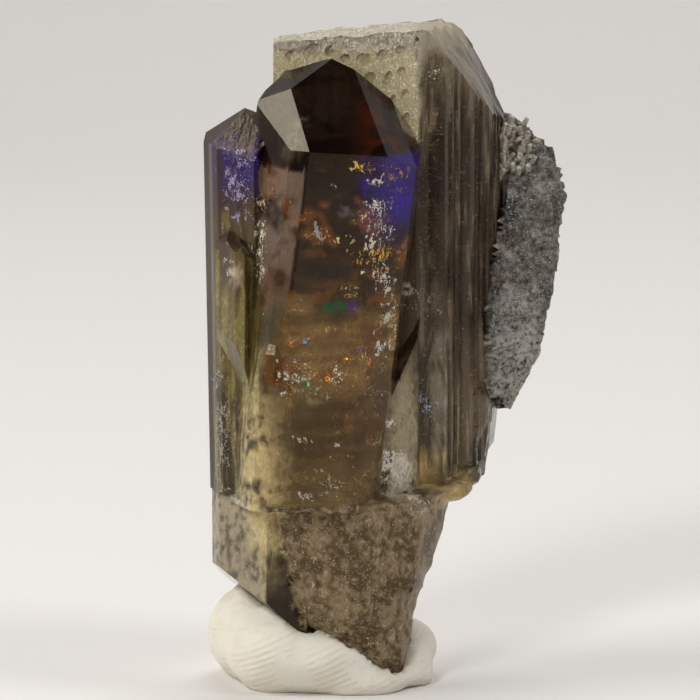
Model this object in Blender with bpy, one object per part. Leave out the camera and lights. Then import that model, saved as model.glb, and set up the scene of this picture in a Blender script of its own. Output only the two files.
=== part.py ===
"""A cluster of intergrown tanzanite crystals with a patch of graphite rock on its right side.

The cluster stands upright in a lump of white mouldable putty with a flat foot.
The viewer looks along +Y, +X is to the right and +Z is up. The origin is the centre of the foot.
Places and sizes are in millimetres; MM turns them into metres where a mesh is made.
A plan is the outline (x, y) of a crystal seen from above, from its front left corner round by
the right to the back. A face is (facing, slope, point): facing 0 looks to the front, 90 to the
right and 180 to the back; slope 0 is level, 90 upright, and more than 90 looks down.
"""
import math

import bmesh
import bpy
from mathutils import Matrix, Vector, noise

MM = 0.001
GAP = 0.3

# Tall back crystal: a wide pale front face, a narrow ridge, then striated faces round to the right
BACK_PLAN = (
    (-4.1, 0.6), (8.0, -0.7), (9.0, -0.05), (10.4, -0.3), (12.6, 2.0), (14.6, 4.6),
    (16.0, 7.5), (14.7, 10.1), (8.6, 11.2), (1.2, 10.8), (-3.0, 9.0), (-4.1, 5.4),
)
BACK_FOOT = 13.7
BACK_HEAD = 60.0
BACK_FACES = (
    (80, 97, (14.9, 5.0, 24.5)),
    (85, 138, (10.0, 0.0, 15.4)),
    (170, 142, (5.0, 6.0, 14.4)),
)
FLUTED_FROM = 3
FLUTED_TO = 11
FLUTE_PITCH = 0.75
FLUTE_DEPTH = 0.16

# Its broken head: a rough level part and a shoulder that falls to the right
HEAD_LEVEL = 55.0
HEAD_RISE = 0.085
HEAD_PEAK = 10.5
HEAD_FALL = 0.55
SHOULDER_START = 9.75
SHOULDER_DROP = 1.82
SHOULDER_TURN = -0.25
HEAD_ROUGHNESS = 0.45
HEAD_LUMP = 2.2
HEAD_GRAIN = 0.6
HEAD_CELL = 0.85

# Etch pits in the upper part of its pale front face: place (x, z), half width and half height
ETCH_PITS = (
    (-0.9, 53.6, 0.7, 0.8), (-2.6, 53.4, 0.5, 0.6), (0.6, 53.9, 0.4, 0.4), (2.0, 53.2, 0.5, 0.45),
    (3.5, 53.1, 0.7, 0.6), (5.0, 53.5, 0.4, 0.5), (4.0, 51.3, 0.6, 0.9), (5.5, 51.5, 0.35, 0.8),
    (6.7, 52.2, 0.4, 0.4), (5.9, 49.6, 0.3, 0.7), (7.0, 50.3, 0.35, 0.45), (-3.0, 51.6, 0.5, 0.7),
    (6.6, 54.0, 0.4, 0.4), (7.1, 48.3, 0.35, 0.5),
)
ETCH_DEPTH = 0.35
ETCH_TURN = 20.0

# Dark front crystal with a pointed head, leaning so that its head is to the right
FRONT_PLAN = (
    (-5.8, -4.0), (-2.55, -8.2), (-0.95, -9.3), (5.35, -9.8), (8.0, -8.0), (8.5, -2.0),
    (6.0, 2.5), (-3.5, 2.5),
)
FRONT_LEVEL = 46.0
FRONT_LEAN = 0.118
FRONT_FOOT = 16.1
FRONT_HEAD = 58.0
FRONT_EDGE = (-0.95, -9.3, 46.2)
FRONT_APEX = (1.1, -2.9, 53.6)
FRONT_FACES = (
    (-2, 48.8, FRONT_EDGE),
    (54, 49.6, (5.35, -9.8, 46.0)),
    (-34, 61, FRONT_EDGE),
    (-58, 31, FRONT_APEX),
    (82, 63, (8.0, -8.0, 44.6)),
    (130, 43, (2.5, -3.7, 52.7)),
    (-115, 60, (-3.5, -1.3, 51.8)),
    (200, 22, (-1.8, -1.3, 52.6)),
    (-68, 87, (-6.1, -6.4, 27.0)),
    (70, 103, (3.2, -9.3, 16.9)),
)

# Left crystal, behind the front one
LEFT_PLAN = (
    (-9.7, -1.2), (-8.5, -4.0), (-5.4, -5.9), (-3.0, -4.4), (-2.0, 3.4), (-5.6, 5.2), (-9.2, 3.4),
)
LEFT_LEVEL = 30.0
LEFT_LEAN = -0.015
LEFT_FOOT = 16.8
LEFT_HEAD = 52.0
LEFT_APEX = (-6.9, -2.6, 49.5)
LEFT_FACES = (
    (-68, 47, (-9.95, -1.2, 46.3)),
    (-22, 60, LEFT_APEX),
    (55, 34, LEFT_APEX),
    (175, 45, LEFT_APEX),
)
LEFT_FLUTE_PITCH = 0.9
LEFT_FLUTE_DEPTH = 0.1

# Glossy lower end of the left crystal, with a slanting underside
PRISM_PLAN = (
    (-9.35, -1.4), (-8.7, -2.9), (-4.6, -6.6), (-1.2, -5.2), (1.0, 2.0), (-4.0, 5.0), (-8.8, 3.2),
)
PRISM_FOOT = 2.0
PRISM_HEAD = 18.3
PRISM_UNDERSIDE = (-72, 138, (-9.35, -1.4, 10.4))

# Small crystal in the valley between the left and the front crystal, thinning out downwards
VALLEY_PLAN = (
    (-8.9, -4.2), (-7.2, -6.7), (-6.4, -6.9), (-5.2, -5.9), (-4.6, -3.6), (-8.0, -2.6),
)
VALLEY_FOOT = 16.0
VALLEY_HEAD = 40.5
VALLEY_FACES = (
    (-8, 38, (-6.75, -6.8, 37.6)),
    (-66, 58, (-7.9, -5.6, 38.4)),
    (62, 50, (-6.2, -6.8, 37.2)),
    (-62, 107, (-9.0, -4.4, 31.5)),
)

# Clear wedge between the front crystal and the ridge of the back crystal
WEDGE_PLAN = ((4.85, -3.9), (8.1, -1.9), (8.6, 1.0), (4.0, 1.0), (1.8, -2.6))
WEDGE_FOOT = 13.6
WEDGE_HEAD = 32.0
WEDGE_FACES = ((-62, 62, (4.85, -3.9, 22.6)),)

# Rounded swelling at the lower left of the front crystal: level, middle and half widths
SWELLING = (
    (15.8, (-4.0, -6.1), (1.6, 1.7)),
    (16.3, (-3.8, -6.3), (2.7, 2.6)),
    (18.2, (-3.6, -6.5), (3.25, 3.1)),
    (22.0, (-3.5, -6.6), (3.15, 3.1)),
    (26.2, (-3.3, -6.7), (2.8, 2.9)),
    (29.3, (-3.4, -6.8), (2.0, 2.3)),
    (31.2, (-3.5, -6.6), (0.9, 1.5)),
)
SWELLING_SIDES = 14

# Broken root below the crystals, tapering to the tip that stands in the putty: level and plan
ROOT_LEVELS = (
    (16.6, ((-7.4, -2.4), (-3.0, -7.6), (3.0, -8.4), (8.6, -4.6), (11.4, 0.8), (10.6, 6.8),
            (4.5, 9.4), (-3.8, 8.0))),
    (11.0, ((-6.8, -2.0), (-2.6, -6.9), (3.2, -7.7), (8.2, -4.6), (9.9, -0.4), (9.0, 5.0),
            (4.2, 7.4), (-3.2, 6.2))),
    (6.4, ((-4.0, -1.6), (-1.4, -5.6), (3.4, -6.8), (7.0, -5.0), (8.1, -1.8), (7.3, 2.6),
           (4.2, 4.4), (-0.6, 3.4))),
    (3.4, ((0.6, -2.6), (1.8, -5.2), (4.0, -6.2), (6.5, -5.4), (7.7, -3.0), (7.0, 0.2),
           (4.8, 1.2), (2.2, 0.2))),
    (0.9, ((4.5, -3.6), (4.9, -4.6), (5.6, -5.1), (6.4, -4.9), (6.8, -4.0), (6.4, -3.0),
           (5.8, -2.6), (5.0, -2.8))),
)
ROOT_CELL = 0.95
ROOT_ROUGHNESS = 0.55
ROOT_GRAIN = 2.2

# Yellow-brown ledge under the back crystal: middle and half widths of its lumps
LEDGE_LUMPS = (
    ((5.2, -4.3, 15.6), (2.3, 1.9, 0.75)),
    ((8.1, -1.7, 16.1), (2.6, 2.4, 0.9)),
    ((10.8, 0.7, 16.3), (2.3, 2.6, 1.1)),
    ((12.2, 3.2, 17.1), (1.7, 2.6, 1.3)),
)
LEDGE_TURN = -12.0
LEDGE_CELL = 0.75
LEDGE_ROUGHNESS = 0.5
LEDGE_GRAIN = 1.6

# Yellow-brown rib at the lower right of the back crystal
RIB_PLAN = ((11.9, 2.6), (13.0, 2.3), (14.4, 3.8), (14.9, 5.4), (13.3, 6.4))
RIB_FOOT = 16.4
RIB_HEAD = 25.0
RIB_FACES = ((60, 101, (14.6, 4.4, 22.0)),)
RIB_CELL = 0.7
RIB_ROUGHNESS = 0.45
RIB_GRAIN = 1.8

# Graphite rock: its outline seen from the front (x, z), and how far it reaches back
ROCK_OUTLINE = (
    (14.4, 48.4), (16.2, 47.9), (17.8, 46.8), (19.6, 45.5), (21.1, 43.2), (21.1, 40.6),
    (20.6, 37.0), (19.9, 32.8), (18.9, 28.4), (17.2, 24.0), (16.0, 21.4), (14.9, 22.2),
    (13.4, 26.6), (13.6, 34.0), (14.2, 40.0),
)
ROCK_FRONT = 3.3
ROCK_BACK = 10.6
ROCK_FACES = (
    (5, 74, (16.5, 6.6, 43.0)),
    (58, 90, (20.6, 6.4, 40.0)),
    (140, 90, (19.0, 9.4, 40.0)),
    (45, 130, (17.8, 4.5, 25.6)),
)
ROCK_CELL = 0.9
ROCK_ROUGHNESS = 0.75
ROCK_GRAIN = 2.4

# Putty lump: middle and half widths of the lobes that it was rolled and pressed from
PUTTY_LOBES = (
    ((0.4, 1.4, 1.8), (8.4, 7.0, 3.2)),
    ((-5.4, 1.6, 3.7), (4.6, 5.6, 4.5)),
    ((-3.7, -2.6, 3.0), (4.5, 5.1, 3.9)),
    ((-0.6, -3.9, 2.5), (5.4, 4.1, 2.9)),
    ((3.0, -3.4, 0.8), (5.0, 4.4, 1.5)),
    ((6.6, 2.2, 2.4), (3.5, 4.8, 2.6)),
    ((7.9, -1.8, 0.9), (2.0, 2.6, 1.2)),
)
LOBE_SEGMENTS = 32
LOBE_RINGS = 20
PUTTY_CELL = 0.95
PUTTY_ROUGHNESS = 0.2
PUTTY_GRAIN = 3.0
GROUND_SIZE = (40.0, 40.0, 10.0)


def clear_scene():
    """Remove whatever the scene holds."""
    for item in list(bpy.data.objects):
        bpy.data.objects.remove(item, do_unlink=True)


def surface(name, colour, roughness, transmission=0.0, ior=1.5):
    """A Principled material."""
    material = bpy.data.materials.new(name)
    material.use_nodes = True
    shader = material.node_tree.nodes["Principled BSDF"]
    shader.inputs["Base Color"].default_value = (*colour, 1.0)
    shader.inputs["Roughness"].default_value = roughness
    shader.inputs["Metallic"].default_value = 0.0
    shader.inputs["Transmission Weight"].default_value = transmission
    shader.inputs["IOR"].default_value = ior
    return material


def add_piece(name, bm, material):
    """Write a bmesh, worked in millimetres, as a named object in metres."""
    bmesh.ops.recalc_face_normals(bm, faces=bm.faces)
    bmesh.ops.scale(bm, vec=(MM, MM, MM), verts=bm.verts)
    mesh = bpy.data.meshes.new(name)
    bm.to_mesh(mesh)
    bm.free()
    mesh.materials.append(material)
    piece = bpy.data.objects.new(name, mesh)
    bpy.context.scene.collection.objects.link(piece)
    return piece


def add_tool(name, bm, material):
    """A solid that only adds to or cuts another one."""
    tool = add_piece(name, bm, material)
    tool.hide_render = True
    tool.display_type = 'WIRE'
    return tool


def join(piece, tool, operation):
    """Unite or cut a piece with another solid by a Boolean modifier."""
    modifier = piece.modifiers.new(tool.name, 'BOOLEAN')
    modifier.operation = operation
    modifier.solver = 'EXACT'
    modifier.object = tool


def regrain(piece, cell, depth, grain):
    """Give a solid an even rough skin: a remesh at one cell size, pushed in and out by a cloud."""
    remesh = piece.modifiers.new("even_cells", 'REMESH')
    remesh.mode = 'VOXEL'
    remesh.voxel_size = cell * MM
    cloud = bpy.data.textures.new(piece.name, 'CLOUDS')
    cloud.noise_scale = grain * MM
    rough = piece.modifiers.new("roughness", 'DISPLACE')
    rough.texture = cloud
    rough.texture_coords = 'GLOBAL'
    rough.strength = depth * MM


def swell(piece, amount):
    """Move a solid's skin outwards by the same amount everywhere."""
    outward = piece.modifiers.new("clearance", 'DISPLACE')
    outward.strength = amount * MM
    outward.mid_level = 0.0


def prism(plan, foot, head, lean=0.0, level=0.0):
    """An upright prism over a plan; a lean moves it along X, and its plan is true at one level."""
    bm = bmesh.new()
    rings = []
    for height in (foot, head):
        shift = lean * (height - level)
        rings.append([bm.verts.new((x + shift, y, height)) for x, y in plan])
    low, high = rings
    count = len(plan)
    for index in range(count):
        after = (index + 1) % count
        bm.faces.new((low[index], low[after], high[after], high[index]))
    bm.faces.new(reversed(low))
    bm.faces.new(high)
    return bm


def facing_normal(facing, slope):
    """Direction in which a face looks."""
    turn = math.radians(facing)
    tilt = math.radians(slope)
    level_part = math.sin(tilt)
    return Vector((math.sin(turn) * level_part, -math.cos(turn) * level_part, math.cos(tilt)))


def cut_face(bm, facing, slope, through):
    """Cut one flat face through a point and close the solid again."""
    cut = bmesh.ops.bisect_plane(
        bm, geom=bm.verts[:] + bm.edges[:] + bm.faces[:], dist=1e-5,
        plane_co=through, plane_no=facing_normal(facing, slope), clear_outer=True,
    )
    rim = [part for part in cut["geom_cut"] if isinstance(part, bmesh.types.BMEdge)]
    bmesh.ops.edgeloop_fill(bm, edges=rim)


def crystal(plan, foot, head, faces, lean=0.0, level=0.0):
    """A prism with its end faces cut, one after the other."""
    bm = prism(plan, foot, head, lean, level)
    for facing, slope, point in faces:
        cut_face(bm, facing, slope, point)
    return bm


def fluted(plan, first, last, pitch, depth):
    """Break the sides between two corners of a plan into narrow growth ridges."""
    ridge_width = 0.12
    unevenness = 3.1
    points = []
    for index, corner in enumerate(plan):
        points.append(corner)
        if not first <= index < last:
            continue
        start = Vector(corner)
        side = Vector(plan[(index + 1) % len(plan)]) - start
        along = side.normalized()
        outward = Vector((along.y, -along.x))
        ridges = max(2, int(side.length / pitch))
        for step in range(1, ridges):
            place = start + side * (step / ridges)
            lift = 2.0 * depth * noise.noise(Vector((*(place * unevenness), index)))
            points.append(tuple(place + outward * (lift - depth)))
            points.append(tuple(place + outward * lift + along * ridge_width))
    return points


def grown(plan, amount):
    """The plan moved outwards by the same amount on each of its sides."""
    corners = [Vector(corner) for corner in plan]
    count = len(corners)
    result = []
    for index, corner in enumerate(corners):
        before = (corner - corners[index - 1]).normalized()
        after = (corners[(index + 1) % count] - corner).normalized()
        outward = Vector((before.y + after.y, -before.x - after.x)).normalized()
        reach = amount / outward.dot(Vector((before.y, -before.x)))
        result.append(tuple(corner + outward * reach))
    return result


def sheet_block(low, high, cell, height, far):
    """A block between a rough sheet, given by a height function, and a far level."""
    bm = bmesh.new()
    width, depth = high[0] - low[0], high[1] - low[1]
    bmesh.ops.create_grid(bm, x_segments=int(width / cell), y_segments=int(depth / cell), size=0.5)
    for vert in bm.verts:
        x = low[0] + (vert.co.x + 0.5) * width
        y = low[1] + (vert.co.y + 0.5) * depth
        vert.co = (x, y, height(x, y))
    lifted = bmesh.ops.extrude_face_region(bm, geom=bm.faces[:])
    for part in lifted["geom"]:
        if isinstance(part, bmesh.types.BMVert):
            part.co.z = far
    return bm


def ellipsoid(bm, centre, radii, segments, rings, turn=0.0):
    """Add a rounded lump to a bmesh; turn tips it about the viewing direction."""
    place = Matrix.Translation(centre)
    tip = Matrix.Rotation(math.radians(turn), 4, 'Y')
    size = Matrix.Diagonal((*radii, 1.0))
    bmesh.ops.create_uvsphere(
        bm, u_segments=segments, v_segments=rings, radius=1.0, matrix=place @ tip @ size,
    )


def loft(levels):
    """A closed skin through rings of points, from the highest to the lowest."""
    bm = bmesh.new()
    rings = []
    for height, ring in levels:
        rings.append([bm.verts.new((x, y, height)) for x, y in ring])
    for upper, lower in zip(rings, rings[1:]):
        count = len(upper)
        for index in range(count):
            after = (index + 1) % count
            bm.faces.new((upper[index], lower[index], lower[after], upper[after]))
    bm.faces.new(rings[0])
    bm.faces.new(reversed(rings[-1]))
    return bm


def broken_head(x, y):
    """Height of the broken head of the back crystal at a place in plan."""
    level = HEAD_LEVEL + HEAD_RISE * x - HEAD_FALL * max(0.0, x - HEAD_PEAK)
    shoulder = HEAD_LEVEL - SHOULDER_DROP * (x + SHOULDER_TURN * y - SHOULDER_START)
    lumps = noise.noise(Vector((x / HEAD_LUMP, y / HEAD_LUMP, 3.0)))
    grain = noise.noise(Vector((x / HEAD_GRAIN, y / HEAD_GRAIN, 9.0)))
    return min(level, shoulder) + HEAD_ROUGHNESS * (lumps + 0.5 * grain)


def make_etch_pits(material):
    """The pits of the pale face, as the solids that cut them."""
    left, right = Vector(BACK_PLAN[0]), Vector(BACK_PLAN[1])
    bm = bmesh.new()
    for x, z, half_width, half_height in ETCH_PITS:
        along = (x - left.x) / (right.x - left.x)
        y = left.y + along * (right.y - left.y)
        ellipsoid(bm, (x, y, z), (half_width, ETCH_DEPTH, half_height), 8, 6, ETCH_TURN)
    return add_tool("etch_pits", bm, material)


def make_back_crystal(material):
    """The tall crystal that carries the rest, broken off above and below."""
    plan = fluted(BACK_PLAN, FLUTED_FROM, FLUTED_TO, FLUTE_PITCH, FLUTE_DEPTH)
    body = add_piece("crystal_cluster", crystal(plan, BACK_FOOT, BACK_HEAD, BACK_FACES), material)
    margin = 3.0
    low = (BACK_PLAN[0][0] - margin, BACK_PLAN[1][1] - margin)
    high = (BACK_PLAN[6][0] + margin, BACK_PLAN[8][1] + margin)
    above = sheet_block(low, high, HEAD_CELL, broken_head, BACK_HEAD + margin)
    join(body, add_tool("broken_head", above, material), 'DIFFERENCE')
    join(body, make_etch_pits(material), 'DIFFERENCE')
    return body


def make_front_crystal(material):
    """The dark crystal with its pointed head."""
    bm = crystal(FRONT_PLAN, FRONT_FOOT, FRONT_HEAD, FRONT_FACES, FRONT_LEAN, FRONT_LEVEL)
    return add_tool("front_crystal", bm, material)


def make_left_crystal(material):
    """The crystal at the left, with a low pointed head."""
    plan = fluted(LEFT_PLAN, 0, 2, LEFT_FLUTE_PITCH, LEFT_FLUTE_DEPTH)
    bm = crystal(plan, LEFT_FOOT, LEFT_HEAD, LEFT_FACES, LEFT_LEAN, LEFT_LEVEL)
    return add_tool("left_crystal", bm, material)


def make_lower_prism(name, material, grow=0.0):
    """The glossy lower end of the left crystal; grow gives its clearance in the putty."""
    facing, slope, (x, y, z) = PRISM_UNDERSIDE
    lowered = z - grow / abs(math.cos(math.radians(slope)))
    faces = ((facing, slope, (x, y, lowered)),)
    bm = crystal(grown(PRISM_PLAN, grow), PRISM_FOOT, PRISM_HEAD, faces)
    return add_tool(name, bm, material)


def make_valley_crystal(material):
    """The small crystal in the left valley."""
    bm = crystal(VALLEY_PLAN, VALLEY_FOOT, VALLEY_HEAD, VALLEY_FACES)
    return add_tool("valley_crystal", bm, material)


def make_wedge(material):
    """The clear wedge with its sloping upper left face."""
    bm = crystal(WEDGE_PLAN, WEDGE_FOOT, WEDGE_HEAD, WEDGE_FACES)
    return add_tool("clear_wedge", bm, material)


def make_swelling(material):
    """The rounded olive swelling at the lower left of the front crystal."""
    levels = []
    for height, middle, half in reversed(SWELLING):
        ring = []
        for side in range(SWELLING_SIDES):
            angle = math.tau * side / SWELLING_SIDES
            ring.append((middle[0] + half[0] * math.cos(angle), middle[1] + half[1] * math.sin(angle)))
        levels.append((height, ring))
    return add_tool("swelling", loft(levels), material)


def make_root(name, material, grow=0.0):
    """The broken, frosted root; grow gives its clearance in the putty."""
    root = add_tool(name, loft(ROOT_LEVELS), material)
    regrain(root, ROOT_CELL, ROOT_ROUGHNESS, ROOT_GRAIN)
    if grow:
        swell(root, grow)
    return root


def make_ledge(material):
    """The rough rounded ledge under the back crystal."""
    bm = bmesh.new()
    for centre, radii in LEDGE_LUMPS:
        ellipsoid(bm, centre, radii, 16, 10, LEDGE_TURN)
    ledge = add_tool("ledge", bm, material)
    regrain(ledge, LEDGE_CELL, LEDGE_ROUGHNESS, LEDGE_GRAIN)
    return ledge


def make_rib(material):
    """The yellow-brown rib at the lower right of the back crystal."""
    rib = add_tool("rib", crystal(RIB_PLAN, RIB_FOOT, RIB_HEAD, RIB_FACES), material)
    regrain(rib, RIB_CELL, RIB_ROUGHNESS, RIB_GRAIN)
    return rib


def make_cluster(material):
    """All the crystals in one solid, as they grew together."""
    cluster = make_back_crystal(material)
    grown_on = (
        make_front_crystal(material),
        make_left_crystal(material),
        make_lower_prism("lower_prism", material),
        make_valley_crystal(material),
        make_wedge(material),
        make_swelling(material),
        make_ledge(material),
        make_rib(material),
        make_root("root", material),
    )
    for part in grown_on:
        join(cluster, part, 'UNION')
    return cluster


def make_rock(material):
    """The graphite rock that is stuck to the right side of the back crystal."""
    bm = bmesh.new()
    face = bm.faces.new([bm.verts.new((x, ROCK_FRONT, z)) for x, z in ROCK_OUTLINE])
    pulled = bmesh.ops.extrude_face_region(bm, geom=[face])
    moved = [part for part in pulled["geom"] if isinstance(part, bmesh.types.BMVert)]
    bmesh.ops.translate(bm, vec=(0.0, ROCK_BACK - ROCK_FRONT, 0.0), verts=moved)
    for facing, slope, point in ROCK_FACES:
        cut_face(bm, facing, slope, point)
    rock = add_piece("graphite_matrix", bm, material)
    regrain(rock, ROCK_CELL, ROCK_ROUGHNESS, ROCK_GRAIN)
    room = prism(grown(BACK_PLAN, GAP + FLUTE_DEPTH), BACK_FOOT, BACK_HEAD)
    join(rock, add_tool("rock_clearance", room, material), 'DIFFERENCE')
    return rock


def make_putty(material):
    """The putty lump with a flat foot and the pocket that the crystal presses into it."""
    bm = bmesh.new()
    for centre, radii in PUTTY_LOBES:
        ellipsoid(bm, centre, radii, LOBE_SEGMENTS, LOBE_RINGS)
    for face in bm.faces:
        face.smooth = True
    putty = add_piece("putty_base", bm, material)
    regrain(putty, PUTTY_CELL, PUTTY_ROUGHNESS, PUTTY_GRAIN)
    ground = bmesh.new()
    below = Matrix.Translation((0.0, 0.0, -GROUND_SIZE[2] / 2.0))
    bmesh.ops.create_cube(ground, size=1.0, matrix=below @ Matrix.Diagonal((*GROUND_SIZE, 1.0)))
    join(putty, add_tool("foot_cut", ground, material), 'DIFFERENCE')
    join(putty, make_lower_prism("lower_prism_clearance", material, GAP), 'DIFFERENCE')
    join(putty, make_root("root_clearance", material, GAP), 'DIFFERENCE')
    return putty


clear_scene()
make_cluster(surface("tanzanite", (0.16, 0.105, 0.075), 0.12, transmission=0.85, ior=1.69))
make_rock(surface("graphite_rock", (0.16, 0.16, 0.155), 0.6))
make_putty(surface("white_putty", (0.8, 0.76, 0.66), 0.65))
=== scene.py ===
import math

import bpy
import numpy
from mathutils import Matrix, Vector, noise
from mathutils.bvhtree import BVHTree


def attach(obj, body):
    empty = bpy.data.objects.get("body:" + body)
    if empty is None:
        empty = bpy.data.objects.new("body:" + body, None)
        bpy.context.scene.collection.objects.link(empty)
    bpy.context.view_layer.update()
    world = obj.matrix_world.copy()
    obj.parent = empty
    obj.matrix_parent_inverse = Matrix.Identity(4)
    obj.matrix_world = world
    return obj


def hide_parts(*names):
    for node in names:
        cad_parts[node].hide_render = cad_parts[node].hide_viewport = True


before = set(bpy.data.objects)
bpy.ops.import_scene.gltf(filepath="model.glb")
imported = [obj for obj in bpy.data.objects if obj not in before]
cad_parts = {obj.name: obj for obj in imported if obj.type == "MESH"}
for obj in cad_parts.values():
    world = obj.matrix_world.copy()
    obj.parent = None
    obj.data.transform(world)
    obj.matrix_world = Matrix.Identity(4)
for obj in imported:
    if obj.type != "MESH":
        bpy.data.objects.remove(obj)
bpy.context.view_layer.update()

# Crystal skin.
# The group of tanzanite prisms that grew together: one clear brown body, violet near its tips,
# with glossy natural faces, a broken head and a frosted, broken root. Nothing here was cut.
MM = 0.001
PER_MM = 1000.0
TANZANITE_IOR = 1.69
CHAMFER = 0.07
ROOT_TOP = 16.6
FRONT_TIP_FOOT = 44.7
GROOVED_SIDE = 8.1
CONTACT_SLOPE = 0.107

# Patches that look unlike the rest: middle, half widths, colour, how clear and how frosted
PATCHES = (
    ((-4.6, -7.0, 19.4), (3.3, 4.5, 11.8), (0.74, 0.59, 0.28), 0.12, 0.12),
    ((6.6, -2.3, 22.0), (2.6, 1.9, 10.0), (0.62, 0.52, 0.34), 0.3, 0.05),
    # Near-white low in the notch on the right: partly frost and pits, partly a painted reflection
    ((6.3, -2.8, 17.7), (2.4, 2.6, 2.6), (0.98, 0.88, 0.72), 0.05, 0.35),
    # A dark strip of painted shade beside the front crystal's right edge
    ((8.8, -0.4, 27.5), (0.9, 1.5, 11.5), (0.01, 0.009, 0.007), 0.15, 0.02),
    ((-7.1, -5.0, 35.6), (0.8, 3.0, 1.3), (0.8, 0.62, 0.46), 0.2, 0.05),
    ((12.2, 1.0, 44.6), (2.4, 3.5, 4.5), (0.03, 0.02, 0.014), 0.3, 0.05),
    ((10.6, 0.0, 35.2), (2.6, 3.5, 2.6), (0.02, 0.014, 0.01), 0.3, 0.02),
    # A dark strip of painted shade beside the front crystal's right edge, higher up
    ((8.7, -0.5, 43.0), (1.0, 2.0, 5.0), (0.025, 0.018, 0.012), 0.3, 0.02),
    ((9.6, -0.3, 48.0), (1.4, 1.5, 5.0), (0.045, 0.03, 0.018), 0.7, 0.05),
    ((10.5, 0.5, 38.5), (1.6, 1.8, 3.0), (0.14, 0.105, 0.07), 0.4, 0.1),
    ((12.6, 2.5, 33.0), (2.6, 3.5, 5.0), (0.022, 0.017, 0.013), 0.6, 0.05),
    ((9.9, -0.2, 25.0), (1.0, 1.6, 12.0), (0.42, 0.35, 0.27), 0.3, 0.08),
    # The next two thin pale lines are painted highlights along edges
    ((8.0, -0.7, 52.0), (0.2, 1.2, 5.0), (0.75, 0.68, 0.5), 0.4, 0.1),
    ((15.8, 7.0, 43.0), (0.3, 1.6, 8.5), (0.75, 0.72, 0.65), 0.3, 0.1),
    ((10.4, -0.3, 17.3), (4.4, 3.0, 3.0), (0.8, 0.58, 0.25), 0.15, 0.3),
    ((14.0, 1.0, 20.5), (0.8, 3.0, 4.5), (0.9, 0.8, 0.58), 0.1, 0.3),
    ((4.9, -9.0, 26.3), (1.3, 3.0, 4.0), (0.16, 0.095, 0.05), 0.6, 0.02),
    ((-2.6, -8.2, 48.6), (1.5, 2.2, 3.4), (0.16, 0.13, 0.07), 0.3, 0.02),
    ((-3.6, -5.5, 49.6), (2.2, 3.5, 2.4), (0.03, 0.026, 0.02), 0.1, 0.02),
    ((14.0, 1.0, 51.0), (3.0, 5.0, 5.0), (0.1, 0.055, 0.02), 0.1, 0.2),
    ((-8.8, -4.6, 39.6), (1.0, 3.0, 3.5), (0.09, 0.04, 0.03), 0.5, 0.05),
    ((0.3, -9.0, 36.3), (2.6, 3.0, 0.9), (0.012, 0.008, 0.014), 0.7, 0.0),
    ((1.2, -9.0, 35.0), (3.4, 3.0, 0.9), (0.16, 0.065, 0.014), 0.6, 0.02),
    ((1.2, -9.0, 33.3), (1.6, 3.0, 0.8), (0.01, 0.16, 0.055), 0.6, 0.0),
    ((2.7, -9.0, 33.3), (0.6, 3.0, 0.6), (0.14, 0.03, 0.28), 0.6, 0.0),
    ((-0.4, -9.0, 25.4), (1.7, 3.0, 0.6), (0.34, 0.3, 0.14), 0.4, 0.1),
    ((2.0, -9.0, 41.4), (0.9, 3.0, 0.9), (0.2, 0.155, 0.17), 0.5, 0.05),
    ((4.4, -9.0, 43.2), (1.5, 3.0, 0.7), (0.05, 0.02, 0.42), 0.6, 0.0),
    ((6.8, -8.6, 42.0), (1.3, 3.0, 2.2), (0.05, 0.018, 0.5), 0.6, 0.0),
    ((0.8, -6.5, 49.6), (2.6, 3.0, 1.8), (0.02, 0.01, 0.008), 0.5, 0.0),
)
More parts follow.
